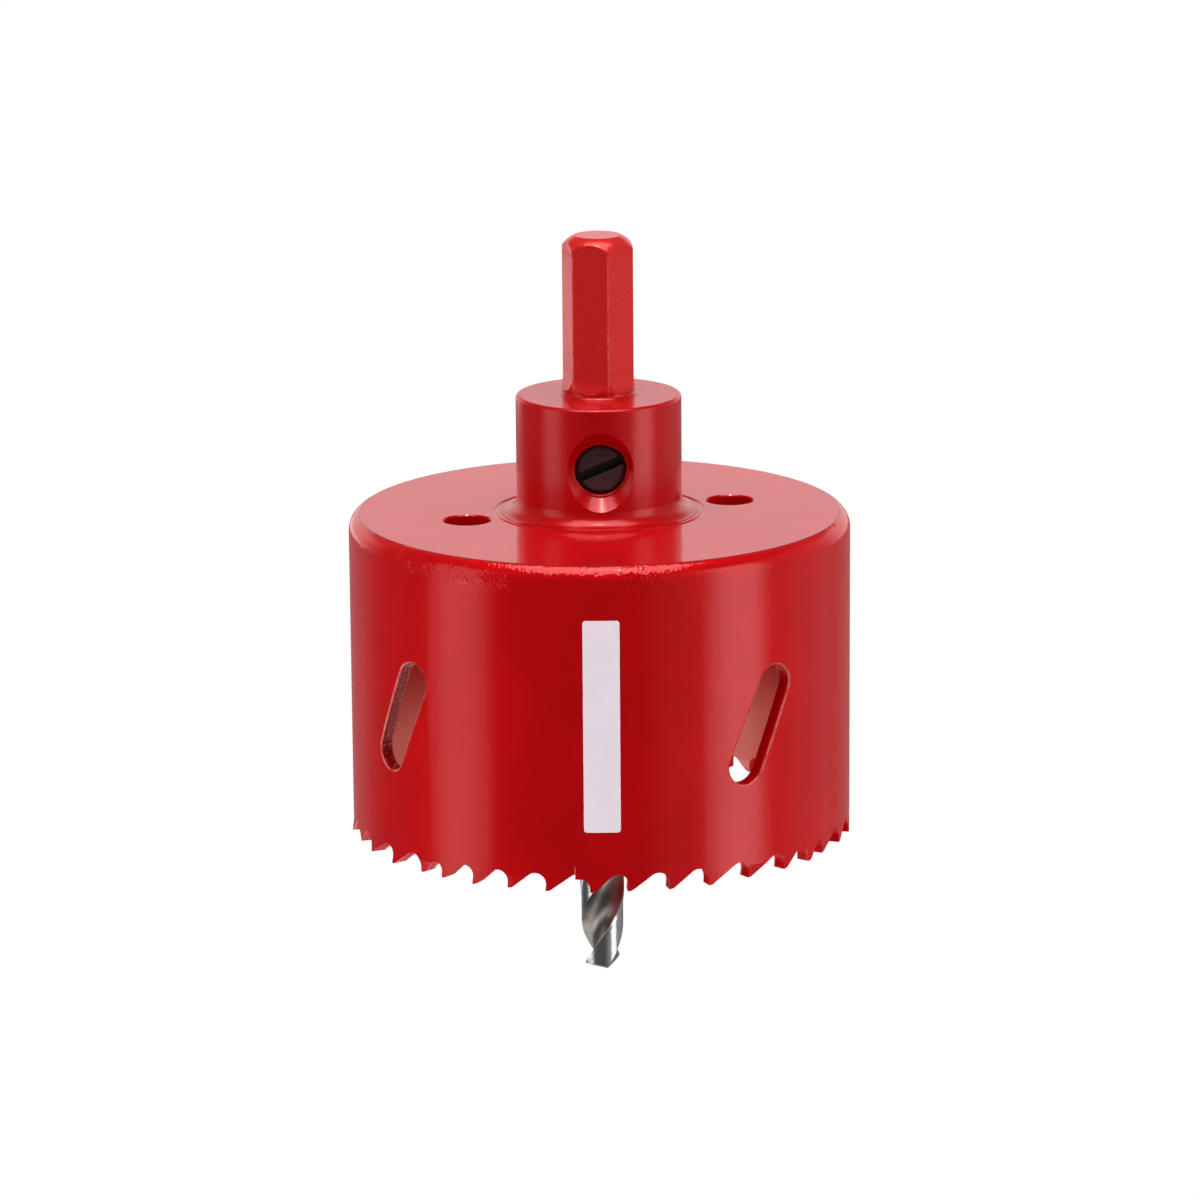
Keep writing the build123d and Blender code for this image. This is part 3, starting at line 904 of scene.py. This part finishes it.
class SAW_OT_weld(bpy.types.Operator):
    """Lay the rippled skin over the front of the weld"""

    bl_idname = "hole_saw.weld"
    bl_label = "Weld ripples"

    def execute(self, context):
        weld = context.scene.saw_weld
        ring_radius = context.scene.saw_ring.radius
        section_radius = ring_radius - weld.bead_radius
        section_height = -weld.bead_radius * cos(weld.edge_slope)
        arc = weld.bead_radius * (pi / 2 - weld.edge_slope)
        rows = ceil((arc + weld.apron) / weld.grid)
        columns = ceil((weld.end - weld.start) * ring_radius / weld.grid)

        def place(row, share):
            down = (arc + weld.apron) * row / rows
            angle = max(0.0, pi / 2 - weld.edge_slope - down / weld.bead_radius)
            azimuth = weld.start + (weld.end - weld.start) * share
            rise = self.rise(weld, azimuth, down, arc, ring_radius)
            points = []
            for lift in (rise, min(rise, 0) - weld.thickness):
                reach = weld.bead_radius + lift
                points.append(on_ring(azimuth, section_radius + reach * cos(angle),
                                      section_height + reach * sin(angle) - max(0.0, down - arc)))
            return points

        points, faces = sheet(range(rows + 1), columns, place)
        add_piece("weld_ripple_skin", points, faces, bpy.data.materials["gloss_red_paint"])
        return {"FINISHED"}

    def rise(self, weld, azimuth, down, arc, ring_radius):
        """Height of the skin over the smooth bead: ripples that fade out at its borders."""
        along = azimuth * ring_radius
        bumps = 0.5 + 0.7 * waves(along, down, FINE_BUMPS) + 0.7 * waves(along, down, BROAD_BUMPS)
        lower = smooth_step(0.35 * arc, 0.75 * arc, down)
        patch = smooth_step(-0.25, 0.35, waves(along, 0, PATCHES))
        bumps *= (0.85 + 0.15 * lower) * (0.4 + 0.6 * patch)
        ends = (smooth_step(weld.start, weld.start + weld.fade, azimuth)
                * (1 - smooth_step(weld.end - weld.fade, weld.end, azimuth)))
        borders = ends * smooth_step(0, 0.16 * MM, down)
        foot_start = arc + 0.1 * weld.apron + FOOT_UNEVEN * waves(along, 0, FOOT_WAVES)
        foot = 1 - smooth_step(foot_start, foot_start + 0.8 * weld.apron, down)
        cover = borders * foot
        ripples = weld.ripple * min(1.1, max(0.05, bumps)) * cover ** 3
        sunk = FOOT_SINK * (1 - foot) + BORDER_SINK * (1 - borders)
        return ripples + SKIN_LIFT * cover - sunk


class SAW_OT_print(bpy.types.Operator):
    """Print the plain white bar on the front of the ring"""

    bl_idname = "hole_saw.print"
    bl_label = "Printed bar"

    def execute(self, context):
        ink = context.scene.saw_print
        ring_radius = context.scene.saw_ring.radius

        def place(height, share):
            end_gap = min(ink.top - height, height - ink.bottom)
            cut = max(0.0, ink.corner - end_gap)
            reach = ink.width / 2 - ink.corner + sqrt(max(0.0, ink.corner ** 2 - cut ** 2))
            across = 2 * share - 1
            side = -1 if across < 0 else 1
            ragged = side * ink.ragged * noise.noise(Vector((side, height / (0.5 * MM), 0.4)))
            azimuth = ink.azimuth + (reach * across + ragged * abs(across)) / ring_radius
            return (on_ring(azimuth, ring_radius + ink.film, height),
                    on_ring(azimuth, ring_radius - ink.root, height))

        columns = 14
        points, faces = sheet(self.levels(ink), columns, place)
        add_piece("print_bar", points, faces, white_print())
        return {"FINISHED"}

    def levels(self, ink):
        """Heights of the rows of points, close together at the rounded ends."""
        curve_rows, body_rows = 6, 60
        curve = [ink.corner * (1 - cos(pi / 2 * n / curve_rows)) for n in range(curve_rows + 1)]
        body = ink.top - ink.bottom - 2 * ink.corner
        straight = [ink.corner + body * n / body_rows for n in range(1, body_rows)]
        ends = [ink.top - ink.bottom - gap for gap in reversed(curve)]
        return [ink.bottom + gap for gap in curve + straight + ends]


class SAW_OT_screw(bpy.types.Operator):
    """Make the slotted set screw with its thread and the thread start in the hub"""

    bl_idname = "hole_saw.screw"
    bl_label = "Set screw"

    def execute(self, context):
        screw = context.scene.saw_screw
        radius = (SCREW_HIGH.x - SCREW_LOW.x) / 2
        centre = (SCREW_LOW.z + SCREW_HIGH.z) / 2
        points, faces = self.threaded_rod(screw, radius, centre)
        piece = add_piece("slotted_screw", points, faces, black_oxide(), False)
        self.cut_slot(piece, screw, radius, centre)
        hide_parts("set_screw")
        points, faces = self.thread_start(screw, radius, centre)
        add_piece("hub_thread", points, faces, bpy.data.materials["arbor_red_paint"])
        return {"FINISHED"}

    def threaded_rod(self, screw, radius, centre):
        """A rod along the screw's axis with a thread, bevelled at both ends."""
        length = SCREW_HIGH.y - SCREW_LOW.y
        rows, columns = 72, 96
        groove_share = 0.85
        points, faces = [], []
        for row in range(rows + 1):
            depth = length * row / rows
            from_end = min(depth, length - depth)
            bevelled = radius - max(0.0, screw.end_chamfer - from_end)
            for column in range(columns):
                turn = column / columns
                phase = (depth / screw.thread_pitch + turn) % 1
                groove = screw.thread_depth * max(0.0, 1 - abs(2 * phase - 1) / groove_share)
                reach = min(bevelled, radius - groove)
                points.append((reach * cos(2 * pi * turn), SCREW_LOW.y + depth,
                               centre + reach * sin(2 * pi * turn)))
        for row in range(rows):
            for column in range(columns):
                after = (column + 1) % columns
                faces.append([row * columns + column, row * columns + after,
                              (row + 1) * columns + after, (row + 1) * columns + column])
        faces.append(list(range(columns)))
        faces.append([rows * columns + column for column in range(columns)])
        return points, faces

    def cut_slot(self, piece, screw, radius, centre):
        """Cut the screwdriver slot, bevelled along its edges."""
        half, bevel, margin = screw.slot_width / 2, screw.slot_bevel, 0.3 * MM
        section = [(-half, screw.slot_depth), (half, screw.slot_depth), (half, bevel),
                   (half + bevel + margin, -margin), (-half - bevel - margin, -margin),
                   (-half, bevel)]
        along = Vector((cos(screw.slot_angle), 0, sin(screw.slot_angle)))
        across = Vector((-sin(screw.slot_angle), 0, cos(screw.slot_angle)))
        middle = Vector((0, SCREW_LOW.y, centre))
        points = [middle + along * side * (radius + margin) + across * wide + Vector((0, deep, 0))
                  for side in (-1, 1) for wide, deep in section]
        count = len(section)
        faces = [list(range(count)), list(range(2 * count - 1, count - 1, -1))]
        faces += [[n, (n + 1) % count, count + (n + 1) % count, count + n] for n in range(count)]
        cutter = bpy.data.objects.new("slot_cutter", closed_mesh("slot_cutter", points, faces))
        bpy.context.scene.collection.objects.link(cutter)
        cut = piece.modifiers.new("slot", "BOOLEAN")
        cut.operation, cut.solver, cut.object = "DIFFERENCE", "EXACT", cutter
        whole = piece.evaluated_get(bpy.context.evaluated_depsgraph_get())
        slotted = bpy.data.meshes.new_from_object(whole)
        piece.modifiers.clear()
        piece.data = slotted
        bpy.data.objects.remove(cutter)

    def thread_start(self, screw, radius, centre):
        """The ridge of the hub's thread that shows in the hole in front of the screw."""
        turns, steps, taper_rate = 1.6, 150, 9
        root, crest = radius + 0.2 * MM, radius - 0.3 * MM
        root_half = 0.42 * screw.thread_pitch
        crest_half = 0.1 * root_half
        points, faces = [], []
        for step in range(steps + 1):
            share = step / steps
            turn = 2 * pi * turns * share
            taper = min(1.0, taper_rate * share, taper_rate * (1 - share))
            middle = SCREW_LOW.y - screw.mouth_depth + screw.thread_pitch * turns * share
            tip = root + (crest - root) * taper
            for reach, shift in ((root, -root_half), (tip, -crest_half), (tip, crest_half),
                                 (root, root_half)):
                points.append((reach * cos(turn), middle + shift, centre + reach * sin(turn)))
        for step in range(steps):
            for corner in range(4):
                after = (corner + 1) % 4
                faces.append([4 * step + corner, 4 * step + after,
                              4 * step + 4 + after, 4 * step + 4 + corner])
        faces.append([0, 1, 2, 3])
        faces.append([4 * steps + corner for corner in (3, 2, 1, 0)])
        return points, faces


class SAW_OT_drill(bpy.types.Operator):
    """Give the pilot drill its ground steel"""

    bl_idname = "hole_saw.drill"
    bl_label = "Pilot drill"

    def execute(self, context):
        paint_node("pilot_drill", ground_steel())
        return {"FINISHED"}


class SAW_PT_panel(bpy.types.Panel):
    """Lists the pieces of the finish and their settings"""

    bl_idname = "SAW_PT_panel"
    bl_label = "Hole Saw"
    bl_space_type = "VIEW_3D"
    bl_region_type = "UI"
    bl_category = "Hole Saw"

    def draw(self, context):
        self.show(self.layout.box(), context.scene.saw_ring)
        for settings, step in STEPS:
            box = self.layout.box()
            box.operator(step.bl_idname)
            self.show(box, getattr(context.scene, settings))

    def show(self, box, group):
        """List the settings of a group in a box."""
        for name in group.__annotations__:
            box.prop(group, name)


STEPS = [
    ("saw_stage", SAW_OT_stage),
    ("saw_paint", SAW_OT_paint),
    ("saw_weld", SAW_OT_weld),
    ("saw_print", SAW_OT_print),
    ("saw_screw", SAW_OT_screw),
    ("saw_drill", SAW_OT_drill),
]
GROUPS = {
    "saw_ring": RingSettings,
    "saw_stage": StageSettings,
    "saw_paint": PaintSettings,
    "saw_weld": WeldSettings,
    "saw_print": PrintSettings,
    "saw_screw": ScrewSettings,
    "saw_drill": DrillSettings,
}


def register():
    for name, group in GROUPS.items():
        bpy.utils.register_class(group)
        setattr(bpy.types.Scene, name, PointerProperty(type=group))
    for _, step in STEPS:
        bpy.utils.register_class(step)
    bpy.utils.register_class(SAW_PT_panel)


def unregister():
    bpy.utils.unregister_class(SAW_PT_panel)
    for _, step in reversed(STEPS):
        bpy.utils.unregister_class(step)
    for name, group in reversed(GROUPS.items()):
        delattr(bpy.types.Scene, name)
        bpy.utils.unregister_class(group)


def main():
    register()
    bpy.ops.hole_saw.stage()
    bpy.ops.hole_saw.paint()
    bpy.ops.hole_saw.weld()
    bpy.ops.hole_saw.print()
    bpy.ops.hole_saw.screw()
    bpy.ops.hole_saw.drill()


if __name__ == "__main__":
    main()
